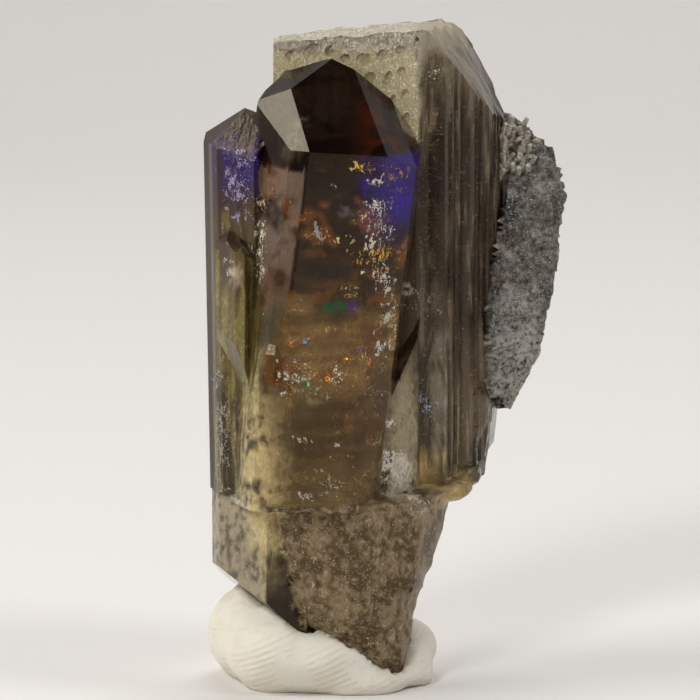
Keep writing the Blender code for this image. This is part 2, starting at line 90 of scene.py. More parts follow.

# Painted glints: the light of bright flakes that shine out of the crystal, painted where they show: middle,
# half widths, colour
SILVER_GLINT = (0.7, 0.64, 0.52)
GLINT_FLECKS = (
    ((3.5, -8.5, 44.6), (1.2, 3.0, 0.8), (1.0, 0.6, 0.12)),
    ((6.2, -8.5, 43.9), (1.1, 3.0, 0.8), (0.8, 0.35, 0.06)),
    ((0.6, -9.0, 43.4), (0.35, 3.0, 0.45), (0.04, 0.2, 0.8)),
    ((1.1, -9.0, 43.3), (0.3, 3.0, 0.5), (0.95, 0.65, 0.6)),
    ((5.0, -9.0, 40.4), (1.2, 3.0, 2.5), SILVER_GLINT),
    ((-0.3, -9.0, 39.3), (0.5, 3.0, 1.0), (0.4, 0.35, 0.35)),
    ((2.4, -9.0, 39.2), (0.8, 3.0, 0.4), (0.8, 0.6, 0.25)),
    ((4.6, -9.0, 37.6), (1.7, 3.0, 1.0), (0.8, 0.42, 0.03)),
    ((5.1, -9.0, 35.8), (1.2, 3.0, 1.1), (1.0, 0.9, 0.75)),
    ((5.8, -9.0, 32.0), (0.9, 3.0, 2.9), (0.62, 0.58, 0.46)),
    ((2.5, -9.0, 34.6), (0.9, 3.0, 0.6), (0.9, 0.65, 0.2)),
    ((-1.1, -9.0, 30.8), (0.5, 3.0, 0.4), (0.8, 0.3, 0.08)),
    ((-1.2, -9.0, 30.4), (0.5, 3.0, 0.35), (0.1, 0.4, 0.75)),
    ((3.5, -9.0, 29.7), (0.8, 3.0, 0.5), (0.16, 0.06, 0.4)),
    ((3.5, -9.0, 29.0), (0.5, 3.0, 0.4), (0.75, 0.85, 0.1)),
    ((4.1, -9.0, 28.8), (0.4, 3.0, 0.4), (1.0, 0.2, 0.03)),
    ((5.4, -9.0, 29.6), (0.9, 3.0, 0.9), (0.95, 0.92, 0.85)),
    ((0.7, -9.0, 27.5), (0.6, 3.0, 0.3), (1.0, 0.4, 0.05)),
    ((1.4, -9.0, 27.9), (0.4, 3.0, 0.7), (0.9, 0.85, 0.7)),
    ((-1.9, -9.0, 27.5), (1.5, 3.0, 1.5), (0.6, 0.64, 0.54)),
    ((-1.1, -9.0, 26.8), (0.4, 3.0, 0.4), (0.15, 0.75, 0.25)),
    ((0.6, -9.0, 26.0), (0.4, 3.0, 0.3), (0.5, 0.65, 0.75)),
    ((-1.6, -9.0, 22.0), (0.7, 3.0, 0.8), (0.75, 0.65, 0.4)),
    ((1.6, -9.0, 21.6), (0.6, 3.0, 0.3), (0.6, 0.56, 0.5)),
    ((0.8, -9.0, 18.3), (0.9, 3.0, 1.0), (0.5, 0.42, 0.3)),
    ((-1.3, -9.0, 17.3), (0.6, 3.0, 0.7), (0.65, 0.6, 0.5)),
    # Near-white in the notch low on the right: a painted reflection over frost
    ((6.4, -3.4, 18.6), (2.8, 2.8, 3.0), (1.0, 0.96, 0.86)),
    ((-6.9, -5.0, 43.0), (1.3, 3.0, 3.0), (0.42, 0.36, 0.6)),
    ((-7.4, -5.0, 36.8), (0.9, 3.0, 1.5), (0.85, 0.68, 0.52)),
    ((-5.0, -6.0, 38.5), (0.5, 3.0, 4.0), (0.75, 0.73, 0.5)),
    ((-8.6, -4.0, 23.0), (1.2, 3.0, 6.0), (0.4, 0.37, 0.28)),
    ((8.9, -0.5, 23.6), (1.2, 2.0, 0.8), (0.6, 0.7, 0.85)),
    ((8.5, -0.6, 32.4), (1.8, 2.0, 1.2), (0.55, 0.52, 0.43)),
    ((9.3, -0.4, 52.0), (0.9, 2.0, 0.9), (0.75, 0.8, 0.72)),
)


def add_node(tree, kind, inputs, **settings):
    """One shader node; each input is a value or another node's output."""
    made = tree.nodes.new("ShaderNode" + kind)
    for name, value in settings.items():
        setattr(made, name, value)
    for name, value in inputs.items():
        if isinstance(value, bpy.types.NodeSocket):
            tree.links.new(value, made.inputs[name])
        else:
            made.inputs[name].default_value = value
    return made


def new_material(name, roughness=0.5, ior=1.5, transmission=0.0, metallic=0.0):
    """A Principled material, its node tree and its shader."""
    material = bpy.data.materials.new(name)
    material.use_nodes = True
    tree = material.node_tree
    shader = tree.nodes["Principled BSDF"]
    shader.inputs["Roughness"].default_value = roughness
    shader.inputs["IOR"].default_value = ior
    shader.inputs["Transmission Weight"].default_value = transmission
    shader.inputs["Metallic"].default_value = metallic
    return material, tree, shader


def place_in_mm(tree, stretch=(1.0, 1.0, 1.0), turn=(0.0, 0.0, 0.0)):
    """The place on the object in millimetres, for patterns; stretch packs a pattern along an axis."""
    here = add_node(tree, "TexCoord", {}).outputs["Object"]
    scale = [PER_MM * part for part in stretch]
    return add_node(tree, "Mapping", {"Vector": here, "Scale": scale, "Rotation": turn}).outputs[0]


def cloud(tree, place, scale, detail=4.0, roughness=0.5, distortion=0.0):
    """Soft noise from 0 to 1; scale is in patches per millimetre."""
    made = add_node(tree, "TexNoise", {
        "Vector": place, "Scale": scale, "Detail": detail,
        "Roughness": roughness, "Distortion": distortion,
    })
    return made.outputs[0]


def rise(tree, value, start, end, low=0.0, high=1.0):
    """A smooth step from low to high as the value goes from start to end."""
    made = add_node(tree, "MapRange", {
        "Value": value, "From Min": start, "From Max": end, "To Min": low, "To Max": high,
    }, interpolation_type='SMOOTHSTEP')
    return made.outputs[0]


def reckon(tree, operation, first, second=0.0):
    """A sum, product and so on of two numbers."""
    made = add_node(tree, "Math", {0: first, 1: second}, operation=operation)
    return made.outputs[0]


def tint(tree, amount, under, over):
    """One colour laid over another."""
    made = tree.nodes.new("ShaderNodeMix")
    made.data_type = 'RGBA'
    for socket, value in ((0, amount), (6, under), (7, over)):
        if isinstance(value, bpy.types.NodeSocket):
            tree.links.new(value, made.inputs[socket])
        elif socket == 0:
            made.inputs[socket].default_value = value
        else:
            made.inputs[socket].default_value = (*value, 1.0)
    return made.outputs[2]


def tanzanite():
    """Clear crystal; its colours, clearness, frost and flakes are painted on the mesh, the flakes as painted
    glints.
    """
    material, tree, shader = new_material("tanzanite_glass", ior=TANZANITE_IOR, transmission=1.0)
    shader.inputs["Specular Tint"].default_value = (0.45, 0.39, 0.29, 1.0)
    place = place_in_mm(tree)
    ground = add_node(tree, "Attribute", {}, attribute_name="ground")
    flakes = add_node(tree, "Attribute", {}, attribute_name="flakes")
    frost = add_node(tree, "Attribute", {}, attribute_name="frost").outputs["Fac"]
    speck = cloud(tree, place_in_mm(tree, (1.0, 1.0, 0.7), (0.3, 0.5, 0.0)), 3.0, 3.0, 0.75, 1.5)
    fine = cloud(tree, place, 8.0, 2.0, 0.6)
    # Painted glints: where the flakes attribute asks, specks and thin bright crack lines carry the flakes'
    # colour into the base colour and make the crystal less clear there
    missing = reckon(tree, 'SUBTRACT', 0.74, reckon(tree, 'MULTIPLY', flakes.outputs["Alpha"], 0.38))
    mixed = reckon(tree, 'ADD', reckon(tree, 'MULTIPLY', speck, 0.7), reckon(tree, 'MULTIPLY', fine, 0.3))
    glint_specks = rise(tree, reckon(tree, 'SUBTRACT', mixed, missing), 0.0, 0.03)
    wave = cloud(tree, place_in_mm(tree, (0.5, 0.7, 1.3)), 0.8, 2.0, 0.5, 1.2)
    line = rise(tree, reckon(tree, 'ABSOLUTE', reckon(tree, 'SUBTRACT', wave, 0.5)), 0.014, 0.004)
    crack = reckon(tree, 'MULTIPLY', line, rise(tree, speck, 0.42, 0.56, 0.0, 0.7))
    seen = rise(tree, flakes.outputs["Alpha"], 0.08, 0.3)
    flake = reckon(tree, 'MAXIMUM', glint_specks, reckon(tree, 'MULTIPLY', crack, seen))
    shade = rise(tree, speck, 0.3, 0.62, 0.35, 0.0)
    body = tint(tree, shade, ground.outputs["Color"], (0.03, 0.018, 0.01))
    dim = tint(tree, rise(tree, fine, 0.35, 0.6, 0.55, 0.0), flakes.outputs["Color"], (0.12, 0.08, 0.045))
    tree.links.new(tint(tree, flake, body, dim), shader.inputs["Base Color"])
    clear = reckon(tree, 'MULTIPLY', ground.outputs["Alpha"], reckon(tree, 'SUBTRACT', 1.0, flake))
    tree.links.new(clear, shader.inputs["Transmission Weight"])
    tree.links.new(frost, shader.inputs["Roughness"])
    ridges = cloud(tree, place_in_mm(tree, (1.0, 1.0, 0.03)), 2.6, 2.0)
    rough = reckon(tree, 'MULTIPLY', mixed, reckon(tree, 'ADD', frost, reckon(tree, 'MULTIPLY', flake, 0.4)))
    height = reckon(tree, 'ADD', reckon(tree, 'MULTIPLY', ridges, 0.06), rough)
    bump = add_node(tree, "Bump", {"Height": height, "Strength": 0.6, "Distance": 0.0005})
    tree.links.new(bump.outputs[0], shader.inputs["Normal"])
    absorption = add_node(tree, "VolumeAbsorption", {"Color": (0.64, 0.43, 0.22, 1.0), "Density": 90.0})
    tree.links.new(absorption.outputs[0], tree.nodes["Material Output"].inputs["Volume"])
    return material


def step(value, start, end):
    """0 before start, 1 after end and a smooth change between them."""
    part = min(1.0, max(0.0, (value - start) / (end - start)))
    return part * part * (3.0 - 2.0 * part)


def grain(spot, scale, octaves=4, stretch=(1.0, 1.0, 1.0), shift=0.0):
    """Soft noise, about -1 to 1; scale is in patches per millimetre."""
    where = Vector([part * scale * pull + shift for part, pull in zip(spot, stretch)])
    return noise.fractal(where, 0.7, 2.0, octaves) * 1.2


def along(stops, value):
    """The colour at a value, between stops of (value, colour)."""
    for (low, under), (high, over) in zip(stops, stops[1:]):
        if value < high:
            part = max(0.0, (value - low) / (high - low))
            return Vector(under).lerp(Vector(over), part)
    return Vector(stops[-1][1])


def near(spot, centre, radii):
    """1 close to a point, falling to 0 at the edge of a rounded patch."""
    across, deep, up = ((a - b) / r for a, b, r in zip(spot, centre, radii))
    return 1.0 - step(math.hypot(across, deep, up), 0.35, 1.0)


def lay(look, amount, colour, clear, frost):
    """A zone laid over a look, which is a colour, how clear it is and how frosted."""
    if amount <= 0.0:
        return look
    return (
        look[0].lerp(Vector(colour), amount),
        look[1] + (clear - look[1]) * amount,
        look[2] + (frost - look[2]) * amount,
    )


BACK_COLOURS = (
    (16, (0.16, 0.11, 0.045)), (21, (0.15, 0.11, 0.065)), (29, (0.13, 0.09, 0.058)),
    (37, (0.06, 0.042, 0.026)), (45, (0.05, 0.034, 0.022)), (49, (0.1, 0.074, 0.045)),
    (52, (0.24, 0.19, 0.115)), (55, (0.33, 0.27, 0.18)),
)
FRONT_COLOURS = (
    (16, (0.4, 0.26, 0.09)), (22, (0.15, 0.08, 0.025)), (25, (0.2, 0.11, 0.033)),
    (29, (0.6, 0.36, 0.12)), (31.5, (0.5, 0.27, 0.085)), (33.5, (0.2, 0.09, 0.03)),
    (35, (0.08, 0.03, 0.01)), (40, (0.05, 0.018, 0.01)), (43.5, (0.026, 0.011, 0.012)),
    (46, (0.012, 0.005, 0.003)), (54, (0.01, 0.006, 0.005)),
)
LEFT_COLOURS = (
    (16, (0.09, 0.07, 0.045)), (20, (0.05, 0.037, 0.026)), (24, (0.1, 0.077, 0.038)),
    (27, (0.2, 0.15, 0.04)), (36, (0.2, 0.145, 0.045)), (39.5, (0.1, 0.055, 0.04)),
    (42, (0.06, 0.035, 0.12)), (46, (0.045, 0.025, 0.22)), (48.5, (0.16, 0.1, 0.085)),
)


def look_of(spot):
    """Colour, clearness and frost at a place on the group, and the colour and amount of the flakes' painted
    glints.
    """
    x, y, z = spot
    smoke = grain(spot, 0.3, 3)
    streak = grain(spot, 1.2, 3, (1.0, 1.0, 0.1), 7.0)
    speck = grain(spot, 1.8, 3, shift=3.0)
    ripple = grain(spot, 0.5, 4, (0.35, 0.6, 1.7), 11.0)
    level = z + 3.0 * smoke
    flake_glint_colour = Vector((0.6, 0.5, 0.3))

    # Back crystal: grey-brown, nearly black higher up, pale at its head and on its wide face
    look = (along(BACK_COLOURS, level), 0.5, 0.04 + 0.08 * step(streak, -0.2, 0.4))
    pale = (1.0 - step(x, 8.05, 8.35)) * step(z, 42.0, 46.0)
    look = lay(look, pale, (0.74, 0.63, 0.38), 0.25, 0.15)
    head = step(z + 0.5 * speck, 53.6, 54.2)
    look = lay(look, head, (0.6, 0.52, 0.42), 0.3, 0.5)
    flake_glint_amount = max(0.5 * pale, 0.6 * head)
    flake_glint_colour = Vector((0.95, 0.88, 0.68)) if pale > 0.0 else flake_glint_colour
    if x > GROOVED_SIDE and z < 53.0:
        blotch = grain(spot, 0.5, 3, (1.0, 1.0, 0.6), 5.0)
        look = lay(look, 0.8 * step(blotch, 0.0, 0.25), (0.03, 0.022, 0.014), 0.6, 0.04)
        look = lay(look, 0.6 * step(streak, 0.15, 0.45), (0.42, 0.33, 0.22), 0.3, 0.12)
        flake_glint_amount = 0.2

    # Front crystal, before the pale face: nearly black at its tip, warm brown below, rippled
    wedge_side = y > -4.4 and z < 30.0 and x > 3.0
    in_front = y + CONTACT_SLOPE * x < -0.35 and x < 8.3 and z > ROOT_TOP
    if in_front and not wedge_side:
        look = (along(FRONT_COLOURS, level), 0.75, 0.0)
        red = step(z, 43.5, 46.0) * step(x, 1.5, 5.0) * step(smoke, -0.3, 0.15)
        look = lay(look, red, (0.075, 0.012, 0.004), 0.35, 0.0)
        rippled = step(ripple, 0.0, 0.35) * (1.0 - step(z, 31.5, 37.0))
        rippled *= 0.45 + 0.55 * step(z, 24.0, 28.0)
        look = lay(look, 0.7 * rippled, (0.36, 0.2, 0.055), 0.45, 0.05)
        dark = step(-ripple, 0.0, 0.35) * step(z, 22.0, 30.0)
        deep = 0.6 + 0.25 * step(z, 31.0, 36.0)
        look = lay(look, deep * dark, (0.02, 0.008, 0.005), 0.45, 0.0)
        flake_glint_amount = 0.34 * rippled + 0.12 * (1.0 - step(z, 40.0, 45.0))
        ember = grain(spot, 0.45, 3, (0.8, 1.0, 1.0), 31.0)
        glow = step(ember, 0.2, 0.5) * step(z, 20.0, 26.0) * (1.0 - step(z, 44.0, 45.5))
        look = lay(look, 0.8 * glow, (0.3, 0.09, 0.018), 0.5, 0.0)
        flake_glint_amount = max(flake_glint_amount, 0.42 * step(ember, 0.35, 0.6) * (z < 44.5))
        # Painted reflection: the bevel strip on the front crystal's left gets a flat grey, darker low down,
        # for the surround it mirrors
        edge = -3.0 + 1.7 * step(z, 30.0, 46.0)
        bevel = (1.0 - step(x, edge - 0.15, edge + 0.15)) * step(z + 2.0 * ripple, 22.0, 29.0)
        bevel *= (z < FRONT_TIP_FOOT) * step(smoke + 0.4 * ripple, -0.9, -0.1)
        grey = Vector((0.05, 0.05, 0.032)).lerp(Vector((0.24, 0.165, 0.12)), step(z, 31.0, 38.0))
        look = lay(look, 0.85 * bevel, grey, 0.2, 0.03)
        flake_glint_amount *= 1.0 - 0.7 * bevel
        violet = step(z, 37.5, 42.5) * (z < 45.9) * step(x + 0.8 * smoke, 2.5, 6.0)
        look = lay(look, 0.85 * violet, (0.05, 0.02, 0.42), 0.6, 0.0)
        flake_glint_colour = Vector((0.6, 0.42, 0.17)).lerp(Vector((0.9, 0.42, 0.1)), step(ember, 0.3, 0.5))

    # Left crystal: violet below its pinkish tip, brown, then yellow-green with upright streaks
    if x < -5.2 and z > ROOT_TOP:
        look = (along(LEFT_COLOURS, level), 0.4, 0.03 + 0.1 * step(streak, -0.2, 0.4))
        upright = 0.6 * step(streak, 0.1, 0.35) * (1.0 - step(z, 39.0, 42.0))
        look = lay(look, upright, (0.4, 0.33, 0.12), 0.3, 0.15)
        look = lay(look, 0.7 * step(-streak, 0.15, 0.4), (0.06, 0.04, 0.02), 0.5, 0.05)
        strip = 1.0 - step(x, -9.3, -8.9)
        shadow = Vector((0.02, 0.014, 0.014)).lerp(Vector((0.07, 0.05, 0.035)), 0.5 + 0.5 * streak)
        look = lay(look, strip, shadow, 0.1, 0.02)
        look = lay(look, step(z + speck, 46.5, 48.0), (0.05, 0.03, 0.024), 0.3, 0.02)
        flake_glint_amount = 0.4 * step(streak, -0.1, 0.4) * (1.0 - strip)
        flake_glint_colour = Vector((0.6, 0.54, 0.38))

    # Lower prism and root: a glossy grey-green side, a dark one, and the frosted broken root
    if z < ROOT_TOP:
        spots = step(speck + 0.5 * smoke, -0.6, 0.4)
        look = (Vector((0.14, 0.12, 0.085)).lerp(Vector((0.5, 0.42, 0.29)), spots), 0.25, 0.03)
        shaded = step(x, -4.75, -4.6)
        look = lay(look, shaded, (0.022, 0.013, 0.009), 0.5, 0.03)
        flake_glint_amount = 0.25 - 0.2 * shaded
        if x + 0.21 * z > -0.75 + 0.4 * speck:
            crumbs = step(speck + 0.8 * smoke, -0.3, 0.4)
            look = (Vector((0.13, 0.075, 0.03)).lerp(Vector((0.42, 0.31, 0.17)), crumbs), 0.3, 0.3)
            flake_glint_amount = 0.42
            flake_glint_colour = Vector((0.75, 0.64, 0.46))

    # Patches, and the painted glints of flakes, torn at their edges by the noises
    for centre, radii, colour, clear, frost in PATCHES:
        if abs(x - centre[0]) > radii[0] + 1.0 or abs(z - centre[2]) > radii[2] + 1.5:
            continue
        wide, tall = min(1.5, radii[0]), min(1.5, radii[2])
        torn = (x + 0.6 * speck * wide, y, z + (0.7 * ripple - 0.3 * speck) * tall)
        amount = near(torn, centre, radii) * step(smoke + 0.4 * speck, -0.7, 0.0)
        look = lay(look, amount, colour, clear, frost)
    for centre, radii, colour in GLINT_FLECKS:
        wide, tall = 1.3 * radii[0], 1.3 * radii[2]
        if abs(x - centre[0]) > 2.2 * wide or abs(z - centre[2]) > 2.4 * tall:
            continue
        torn = (x + 0.8 * speck * wide, y, z + (0.9 * ripple - 0.4 * speck) * tall)
        amount = near(torn, centre, (wide, radii[1], tall))
        if amount > 0.0:
            flake_glint_colour = flake_glint_colour.lerp(Vector(colour), min(1.0, 2.5 * amount))
            flake_glint_amount = max(flake_glint_amount, 0.68 * amount + 0.25 * amount * speck)
    return (*look, flake_glint_colour, flake_glint_amount)


def paint(piece, look_at):
    """Write a look as the piece's own attributes, point by point."""
    mesh = piece.data
    grounds, frosts, flakes = [], [], []
    for vert in mesh.vertices:
        colour, clear, frost, flake_glint_colour, flake_glint_amount = look_at(vert.co * PER_MM)
        grounds.extend((*colour, clear))
        flakes.extend((*flake_glint_colour, flake_glint_amount))
        frosts.append(frost)
    mesh.attributes.new("ground", 'FLOAT_COLOR', 'POINT').data.foreach_set("color", grounds)
    mesh.attributes.new("flakes", 'FLOAT_COLOR', 'POINT').data.foreach_set("color", flakes)
    mesh.attributes.new("frost", 'FLOAT', 'POINT').data.foreach_set("value", frosts)


def refine(piece, length_at, rounds=9):
    """Split edges until none is longer than the length allowed at its middle, in millimetres."""
    bpy.ops.object.select_all(action='DESELECT')
    piece.select_set(True)
    bpy.context.view_layer.objects.active = piece
    for _ in range(rounds):
        bpy.ops.object.mode_set(mode='EDIT')
        bpy.ops.mesh.select_mode(type='EDGE')
        bpy.ops.mesh.select_all(action='SELECT')
        bpy.ops.mesh.quads_convert_to_tris(quad_method='BEAUTY', ngon_method='BEAUTY')
        bpy.ops.mesh.select_all(action='DESELECT')
        bpy.ops.object.mode_set(mode='OBJECT')
        mesh = piece.data
        places = numpy.empty(len(mesh.vertices) * 3)
        mesh.vertices.foreach_get("co", places)
        places = places.reshape(-1, 3) * PER_MM
        ends = numpy.empty(len(mesh.edges) * 2, dtype=int)
        mesh.edges.foreach_get("vertices", ends)
        starts, stops = places[ends[0::2]], places[ends[1::2]]
        lengths = numpy.linalg.norm(stops - starts, axis=1)
        long = lengths > length_at((starts + stops) / 2.0)
        if not long.any():
            break
        mesh.edges.foreach_set("select", long)
        bpy.ops.object.mode_set(mode='EDIT')
        bpy.ops.mesh.subdivide(number_cuts=1)
        bpy.ops.object.mode_set(mode='OBJECT')


def skin_length(middles):
    """Fine at the front, coarser behind and on the grooved side."""
    near_front = numpy.where(middles[:, 1] < 1.0, 0.52, 1.5)
    return numpy.where(middles[:, 0] > GROOVED_SIDE, 1.9, near_front)


def wear(spot):
    """How far the surface is broken inwards at a place, in millimetres."""
    x, y, z = spot
    rough = 0.0
    if z < ROOT_TOP and x + 0.21 * z > -0.75:
        rough = 0.3
    if z > 53.4:
        rough = 0.3
    if x > 4.0 and ROOT_TOP < z < 20.5 and y < 3.0:
        rough = max(rough, 0.25 * (1.0 - step(z, 18.5, 20.5)))
    if y > 4.0:
        rough = max(rough, 0.12)
    if rough == 0.0:
        return 0.0
    coarse = grain(spot, 0.7, 3, shift=9.0)
    sharp = abs(grain(spot, 1.6, 2, shift=21.0))
    return rough * max(0.0, 0.5 + 0.5 * coarse - 0.7 * sharp)


def roughen(piece, depth_at):
    """Push each point inwards along its normal by a depth in millimetres."""
    mesh = piece.data
    moved = []
    for vert in mesh.vertices:
        depth = depth_at(vert.co * PER_MM)
        moved.extend(vert.co - vert.normal * depth * MM)
    mesh.vertices.foreach_set("co", moved)
    mesh.update()


def copy_of_node(name, new_name):
    """A CAD node's mesh as a new object, its loose triangles merged and its flat faces whole."""
    bpy.ops.object.select_all(action='DESELECT')
    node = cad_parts[name]
    node.select_set(True)
    bpy.context.view_layer.objects.active = node
    bpy.ops.object.duplicate()
    piece = bpy.context.active_object
    piece.name = new_name
    piece.parent = None
    for key in list(piece.keys()):
        del piece[key]
    piece.data.materials.clear()
    bpy.ops.object.mode_set(mode='EDIT')
    bpy.ops.mesh.select_all(action='SELECT')
    bpy.ops.mesh.remove_doubles(threshold=1e-6)
    bpy.ops.mesh.dissolve_limited(angle_limit=math.radians(0.6))
    bpy.ops.object.mode_set(mode='OBJECT')
    return piece


def tree_of(*pieces):
    """The surface of some pieces together, to find places on it."""
    points, faces = [], []
    for piece in pieces:
        first = len(points)
        points.extend(vert.co.copy() for vert in piece.data.vertices)
        faces.extend([number + first for number in face.vertices] for face in piece.data.polygons)
    return BVHTree.FromPolygons(points, faces)


skin = copy_of_node("crystal_cluster", "crystal_skin")

# Narrow chamfers on the sharp growth edges, which catch the light
bpy.ops.object.mode_set(mode='EDIT')
bpy.ops.mesh.select_mode(type='EDGE')
bpy.ops.mesh.select_all(action='DESELECT')
bpy.ops.mesh.edges_select_sharp(sharpness=math.radians(24.0))
bpy.ops.object.mode_set(mode='OBJECT')
for edge in skin.data.edges:
    ends = [skin.data.vertices[number].co * PER_MM for number in edge.vertices]
    too_low = min(end.z for end in ends) < 17.5
    too_short = (ends[0] - ends[1]).length < 1.2
    if too_low or too_short or max(end.x for end in ends) > 8.6:
        edge.select = False
bpy.ops.object.mode_set(mode='EDIT')
bpy.ops.mesh.bevel(offset=CHAMFER * MM, segments=1, clamp_overlap=True)
bpy.ops.object.mode_set(mode='OBJECT')
refine(skin, skin_length)
roughen(skin, wear)
paint(skin, look_of)
skin.data.materials.append(tanzanite())

crystal_wall = tree_of(skin)
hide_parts("crystal_cluster")
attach(skin, "root")

# Healed cracks.
# Thin broken films inside the crystal where it cracked and healed. They hold a breath of gas, so
# they shine like foil: silver, gold where the brown is deep, and rainbow where they are thinnest.
FILM_THICKNESS = 0.02
FILM_DEPTH = 0.2


def apply_all(piece):
    """Apply the piece's modifiers in their order."""
    bpy.ops.object.select_all(action='DESELECT')
    piece.select_set(True)
    bpy.context.view_layer.objects.active = piece
    for modifier in list(piece.modifiers):
        bpy.ops.object.modifier_apply(modifier=modifier.name)


def foil(name, colour, roughness=0.14, metallic=1.0):
    """A shining film with a little unevenness in its colour."""
    material, tree, shader = new_material(name, roughness=roughness, metallic=metallic)
    place = place_in_mm(tree)
    speck = cloud(tree, place, 2.5, 4.0, 0.6)
    dull = tuple(0.35 * part for part in colour)
    tree.links.new(tint(tree, rise(tree, speck, 0.35, 0.6), dull, colour), shader.inputs["Base Color"])
    return material


def veil(name, middle, width, height, turn, keep, crimp, material, seed, cell=0.14):
    """A broken, crumpled film: a fine sheet with the parts between its flakes left out."""
    bpy.ops.object.select_all(action='DESELECT')
    columns, rows = max(6, int(width / cell)), max(6, int(height / cell))
    bpy.ops.mesh.primitive_grid_add(x_subdivisions=columns, y_subdivisions=rows, size=1.0)
    sheet = bpy.context.active_object
    sheet.name = name
    mesh = sheet.data
    shift = Vector((seed * 7.3, seed * 3.1, seed * 5.7))
    for vert in mesh.vertices:
        across, up = vert.co.x * width, vert.co.y * height
        spot = Vector((across, up, 0.0)) + shift
        bend = noise.noise(spot * 0.35) * crimp * 2.0 + noise.noise(spot * 1.6) * crimp * 0.55
        wrinkle = noise.noise(spot * 4.5) * crimp * 0.22
        vert.co = (across, up, bend + wrinkle)
    bpy.ops.object.mode_set(mode='EDIT')
    bpy.ops.mesh.select_mode(type='FACE')
    bpy.ops.mesh.select_all(action='DESELECT')
    bpy.ops.object.mode_set(mode='OBJECT')
    for face in mesh.polygons:
        spot = face.center + shift
        edge = (2.0 * face.center.x / width) ** 2 + (2.0 * face.center.y / height) ** 2
        flake = noise.noise(Vector((spot.x * 1.3, spot.y * 2.1, 4.0))) + 0.5 * noise.noise(spot * 4.0)
        face.select = flake + 0.75 * edge > keep
    bpy.ops.object.mode_set(mode='EDIT')
    bpy.ops.mesh.delete(type='FACE')
    bpy.ops.mesh.select_all(action='SELECT')
    bpy.ops.mesh.delete_loose()
    bpy.ops.object.mode_set(mode='OBJECT')
    wall = sheet.modifiers.new("thickness", 'SOLIDIFY')
    wall.thickness = FILM_THICKNESS
    wall.offset = 0.0
    apply_all(sheet)
    bpy.ops.object.mode_set(mode='EDIT')
    bpy.ops.mesh.select_all(action='SELECT')
    bpy.ops.mesh.normals_make_consistent(inside=False)
    bpy.ops.object.mode_set(mode='OBJECT')
    placing = Matrix.Translation(Vector(middle) * MM)
    for axis, degrees in zip("XYZ", turn):
        placing = placing @ Matrix.Rotation(math.radians(degrees), 4, axis)
    mesh.transform(placing @ Matrix.Scale(MM, 4))

    # No point of a film comes nearer than this to the crystal's front face
    for vert in mesh.vertices:
        start = Vector((vert.co.x, -20.0 * MM, vert.co.z))
        touch, _, _, _ = crystal_wall.ray_cast(start, Vector((0.0, 1.0, 0.0)))
        if touch is not None:
            vert.co.y = max(vert.co.y, touch.y + FILM_DEPTH * MM)
    mesh.materials.append(material)
    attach(sheet, "root")


silver = foil("silver_film", (0.95, 0.92, 0.86))
gold = foil("gold_film", (1.0, 0.66, 0.2))
amber = foil("amber_film", (1.0, 0.42, 0.08), 0.2)
violet_film = foil("violet_film", (0.28, 0.16, 1.0), 0.3, 0.7)

# Each film: middle, width, height, turn about X, Y and Z, how much is left, crumple and finish
FILMS = (
    ((3.3, -7.6, 44.9), 2.6, 1.2, (62.0, -20.0, 0.0), 0.35, 0.5, gold),
    ((6.0, -7.4, 44.6), 1.8, 1.0, (62.0, -30.0, 0.0), 0.2, 0.5, amber),
    ((5.8, -8.8, 42.2), 4.0, 3.0, (75.0, -25.0, 0.0), 0.3, 0.3, violet_film),
    ((4.9, -8.9, 40.2), 2.4, 4.4, (75.0, -30.0, 0.0), 0.2, 0.3, silver),
    ((4.5, -8.6, 37.7), 3.0, 1.6, (60.0, -30.0, 10.0), 0.5, 0.3, gold),
    ((5.2, -8.9, 35.9), 1.8, 2.0, (70.0, -35.0, 0.0), 0.4, 0.3, silver),
    ((5.6, -8.7, 31.8), 1.6, 6.0, (82.0, -30.0, 0.0), 0.4, 0.3, silver),
    ((2.0, -8.6, 35.2), 4.6, 1.4, (65.0, -20.0, 8.0), 0.1, 0.3, amber),
    ((-1.4, -8.6, 28.0), 3.2, 2.6, (65.0, -30.0, 0.0), 0.25, 0.4, silver),
    ((2.4, -8.5, 29.0), 5.0, 2.6, (60.0, -25.0, 0.0), 0.1, 0.4, gold),
    ((0.5, -8.6, 26.0), 6.0, 1.6, (60.0, -25.0, 4.0), 0.2, 0.3, gold),
    ((1.0, -8.5, 22.0), 7.0, 6.0, (65.0, -30.0, 0.0), -0.15, 0.3, gold),
)
for number, (middle, width, height, turn, keep, crimp, finish) in enumerate(FILMS):
    veil(f"healed_crack_{number + 1:02d}", middle, width, height, turn, keep, crimp, finish, number)

# Contact inside the group.
# A wavy brown skin, taken to have been trapped where the front crystal grew against the back one.
# It is a guess: hardly thicker than paper, it lets warm light through and hides the far grooves.
CONTACT_WIDTH = 11.0
CONTACT_HEIGHT = 26.0
CONTACT_THICKNESS = 0.1


def colours_along(tree, value, stops):
    """A colour ramp: each stop is a place on the value's own scale and a colour."""
    first, last = stops[0][0], stops[-1][0]
    made = tree.nodes.new("ShaderNodeValToRGB")
    fraction = add_node(tree, "MapRange", {"Value": value, "From Min": first, "From Max": last})
    tree.links.new(fraction.outputs[0], made.inputs[0])
    ramp = made.color_ramp
    for place, colour in stops:
        at = (place - first) / (last - first)
        if place == first:
            stop = ramp.elements[0]
        elif place == last:
            stop = ramp.elements[-1]
        else:
            stop = ramp.elements.new(at)
        stop.position = at
        stop.color = (*colour, 1.0)
    return made.outputs[0]


